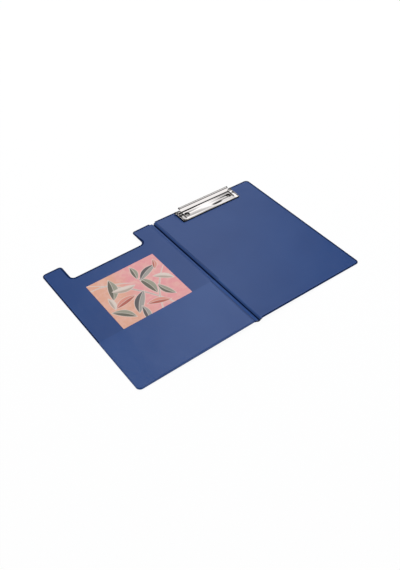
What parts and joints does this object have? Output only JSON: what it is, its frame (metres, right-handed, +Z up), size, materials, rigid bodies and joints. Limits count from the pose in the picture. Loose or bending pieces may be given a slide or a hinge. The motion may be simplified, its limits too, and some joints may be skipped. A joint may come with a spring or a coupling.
{
  "type": "clipboard folder",
  "caption": "Foldable clipboard: two film-covered boards on a welded gutter hinge, with a sprung metal clip, a notched cover and an inner pocket.",
  "frame": {"origin": "on the table under the middle of the gutter, halfway up the boards", "axes": "+X from the gutter across the back board, +Y towards the edge with the clip, +Z up from the table"},
  "size_m": [0.474, 0.32, 0.0175],
  "materials": {
    "film": "satin blue PVC film, lightly grained",
    "board": "plain grey board, sealed inside the film",
    "sheet": "smooth printed paper",
    "clip_metal": "bright nickel plating",
    "rod_metal": "bright plated rod",
    "rivet_metal": "bright nickel plating",
    "spring_wire": "drawn spring wire"
  },
  "bodies": {
    "back": {"back_board": "board", "back_outer_film": "film", "back_inner_film": "film", "clip_base": "clip_metal", "clip_rod": "rod_metal", "clip_rivet_left": "rivet_metal", "clip_rivet_right": "rivet_metal", "clip_spring_left": "spring_wire", "clip_spring_right": "spring_wire"},
    "spine": {"spine_outer_film": "film", "spine_inner_film": "film", "spine_pocket_film": "film"},
    "cover": {"cover_board": "board", "cover_outer_film": "film", "cover_inner_film": "film", "pocket_film": "film"},
    "sheet": {"pocket_sheet": "sheet"},
    "jaw": {"clip_jaw": "clip_metal"}
  },
  "joints": [
    {"name": "spine_hinge", "type": "hinge", "parent": "back", "child": "spine", "pos_m": [0.007, 0, 0.00341], "axis": [0, 1, 0], "range_deg": [-90, 90.85]},
    {"name": "cover_hinge", "type": "hinge", "parent": "spine", "child": "cover", "pos_m": [-0.007, 0, 0.00341], "axis": [0, 1, 0], "range_deg": [-90, 90.85]},
    {"name": "sheet_slide", "type": "slide", "parent": "cover", "child": "sheet", "axis": [0, 1, 0], "range_m": [0, 0.036]},
    {"name": "jaw_hinge", "type": "hinge", "parent": "back", "child": "jaw", "pos_m": [0.11897, 0.153, 0.00765], "axis": [-0.9999, 0, 0.0148], "range_deg": [0, 25], "stiffness_Nm_per_rad": 0.6, "springref_deg": -34.38, "deforming": ["clip_spring_left", "clip_spring_right"]}
  ]
}
